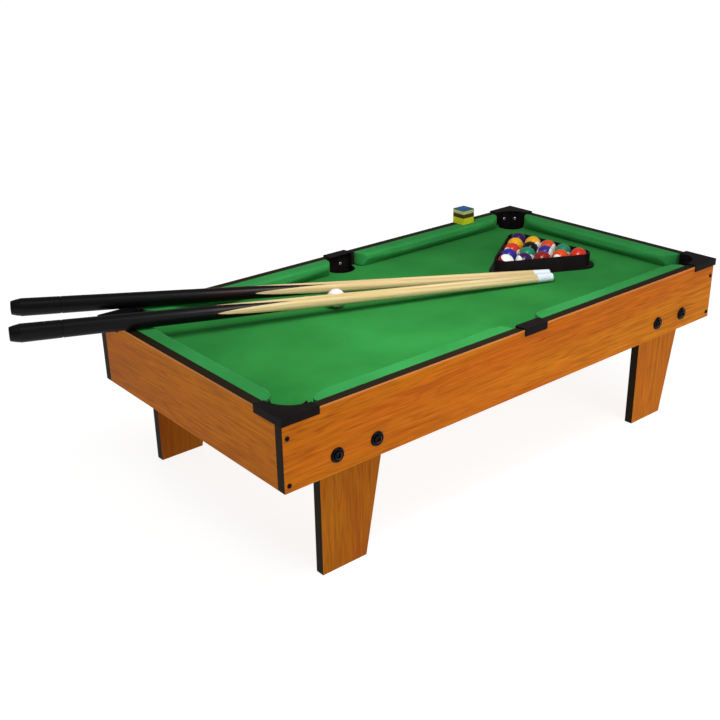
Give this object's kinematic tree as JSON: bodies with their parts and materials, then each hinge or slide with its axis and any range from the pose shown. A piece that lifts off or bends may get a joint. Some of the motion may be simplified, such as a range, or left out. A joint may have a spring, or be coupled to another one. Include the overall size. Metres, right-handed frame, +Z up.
{
  "type": "mini pool table",
  "caption": "Table-top pool table on four bolted panel legs, with padded felt rails, drop pockets, cues, racked balls and chalk.",
  "frame": {"origin": "middle of the whole set's box, on the floor plane; the table's own centre is 64.0 mm towards +X and 29.5 mm towards -Y from it, because the cues overhang one end", "axes": "+X along the table's length, towards the racked balls; +Z up"},
  "size_m": [0.9016, 0.4628, 0.2503],
  "materials": {
    "cherry_laminate": "satin printed cherry grain",
    "green_felt": "short napped felt",
    "black_plastic": "semi-matte moulded",
    "black_metal": "black coated steel",
    "bare_wood": "sawn, unfinished",
    "maple": "lacquered, dark spliced butt",
    "chalk": "dry pressed chalk, paper sides",
    "ball_purple": "polished resin",
    "ball_yellow": "polished resin",
    "ball_red": "polished resin",
    "ball_blue": "polished resin",
    "ball_maroon": "polished resin",
    "ball_black": "polished resin",
    "ball_green": "polished resin",
    "ball_orange": "polished resin",
    "ball_white": "polished resin"
  },
  "bodies": {
    "table": {"far_left_corner_pocket": "black_plastic", "far_left_corner_screw_1": "black_metal", "far_left_corner_screw_2": "black_metal", "far_left_cushion": "green_felt", "far_left_leg": "cherry_laminate", "far_left_leg_bolt_1": "black_metal", "far_left_leg_bolt_2": "black_metal", "far_right_corner_pocket": "black_plastic", "far_right_corner_screw_1": "black_metal", "far_right_corner_screw_2": "black_metal", "far_right_cushion": "green_felt", "far_right_leg": "cherry_laminate", "far_right_leg_bolt_1": "black_metal", "far_right_leg_bolt_2": "black_metal", "far_side_board": "cherry_laminate", "far_side_pocket": "black_plastic", "left_bed_batten": "bare_wood", "left_end_board": "cherry_laminate", "left_end_cushion": "green_felt", "near_left_corner_pocket": "black_plastic", "near_left_corner_screw_1": "black_metal", "near_left_corner_screw_2": "black_metal", "near_left_cushion": "green_felt", "near_left_leg": "cherry_laminate", "near_left_leg_bolt_1": "black_metal", "near_left_leg_bolt_2": "black_metal", "near_right_corner_pocket": "black_plastic", "near_right_corner_screw_1": "black_metal", "near_right_corner_screw_2": "black_metal", "near_right_cushion": "green_felt", "near_right_leg": "cherry_laminate", "near_right_leg_bolt_1": "black_metal", "near_right_leg_bolt_2": "black_metal", "near_side_board": "cherry_laminate", "near_side_pocket": "black_plastic", "playing_bed": "green_felt", "right_bed_batten": "bare_wood", "right_end_board": "cherry_laminate", "right_end_cushion": "green_felt"},
    "ball_1": {"ball_1": "ball_purple"},
    "ball_2": {"ball_2": "ball_yellow"},
    "ball_3": {"ball_3": "ball_red"},
    "ball_4": {"ball_4": "ball_blue"},
    "ball_5": {"ball_5": "ball_maroon"},
    "ball_6": {"ball_6": "ball_yellow"},
    "ball_7": {"ball_7": "ball_black"},
    "ball_8": {"ball_8": "ball_green"},
    "ball_9": {"ball_9": "ball_purple"},
    "ball_10": {"ball_10": "ball_orange"},
    "ball_11": {"ball_11": "ball_blue"},
    "ball_12": {"ball_12": "ball_maroon"},
    "ball_13": {"ball_13": "ball_green"},
    "ball_14": {"ball_14": "ball_orange"},
    "ball_15": {"ball_15": "ball_red"},
    "cue_ball": {"cue_ball": "ball_white"},
    "triangle_rack": {"triangle_rack": "black_plastic"},
    "chalk_cube": {"chalk_cube": "chalk"},
    "front_cue": {"front_cue": "maple"},
    "rear_cue": {"rear_cue": "maple"}
  },
  "joints": [
    {"name": "ball_1_lift", "type": "slide", "parent": "table", "child": "ball_1", "axis": [0, 0, 1], "range_m": [0, 0.06]},
    {"name": "ball_2_lift", "type": "slide", "parent": "table", "child": "ball_2", "axis": [0, 0, 1], "range_m": [0, 0.06]},
    {"name": "ball_3_lift", "type": "slide", "parent": "table", "child": "ball_3", "axis": [0, 0, 1], "range_m": [0, 0.06]},
    {"name": "ball_4_lift", "type": "slide", "parent": "table", "child": "ball_4", "axis": [0, 0, 1], "range_m": [0, 0.06]},
    {"name": "ball_5_lift", "type": "slide", "parent": "table", "child": "ball_5", "axis": [0, 0, 1], "range_m": [0, 0.06]},
    {"name": "ball_6_lift", "type": "slide", "parent": "table", "child": "ball_6", "axis": [0, 0, 1], "range_m": [0, 0.06]},
    {"name": "ball_7_lift", "type": "slide", "parent": "table", "child": "ball_7", "axis": [0, 0, 1], "range_m": [0, 0.06]},
    {"name": "ball_8_lift", "type": "slide", "parent": "table", "child": "ball_8", "axis": [0, 0, 1], "range_m": [0, 0.06]},
    {"name": "ball_9_lift", "type": "slide", "parent": "table", "child": "ball_9", "axis": [0, 0, 1], "range_m": [0, 0.06]},
    {"name": "ball_10_lift", "type": "slide", "parent": "table", "child": "ball_10", "axis": [0, 0, 1], "range_m": [0, 0.06]},
    {"name": "ball_11_lift", "type": "slide", "parent": "table", "child": "ball_11", "axis": [0, 0, 1], "range_m": [0, 0.06]},
    {"name": "ball_12_lift", "type": "slide", "parent": "table", "child": "ball_12", "axis": [0, 0, 1], "range_m": [0, 0.06]},
    {"name": "ball_13_lift", "type": "slide", "parent": "table", "child": "ball_13", "axis": [0, 0, 1], "range_m": [0, 0.06]},
    {"name": "ball_14_lift", "type": "slide", "parent": "table", "child": "ball_14", "axis": [0, 0, 1], "range_m": [0, 0.06]},
    {"name": "ball_15_lift", "type": "slide", "parent": "table", "child": "ball_15", "axis": [0, 0, 1], "range_m": [0, 0.06]},
    {"name": "cue_ball_lift", "type": "slide", "parent": "table", "child": "cue_ball", "axis": [0, 0, 1], "range_m": [0, 0.06]},
    {"name": "triangle_rack_lift", "type": "slide", "parent": "table", "child": "triangle_rack", "axis": [0, 0, 1], "range_m": [0, 0.06]},
    {"name": "chalk_cube_lift", "type": "slide", "parent": "table", "child": "chalk_cube", "axis": [0, 0, 1], "range_m": [0, 0.06]},
    {"name": "front_cue_lift", "type": "slide", "parent": "table", "child": "front_cue", "axis": [0, 0, 1], "range_m": [0, 0.08]},
    {"name": "rear_cue_lift", "type": "slide", "parent": "table", "child": "rear_cue", "axis": [0, 0, 1], "range_m": [0, 0.08]}
  ]
}
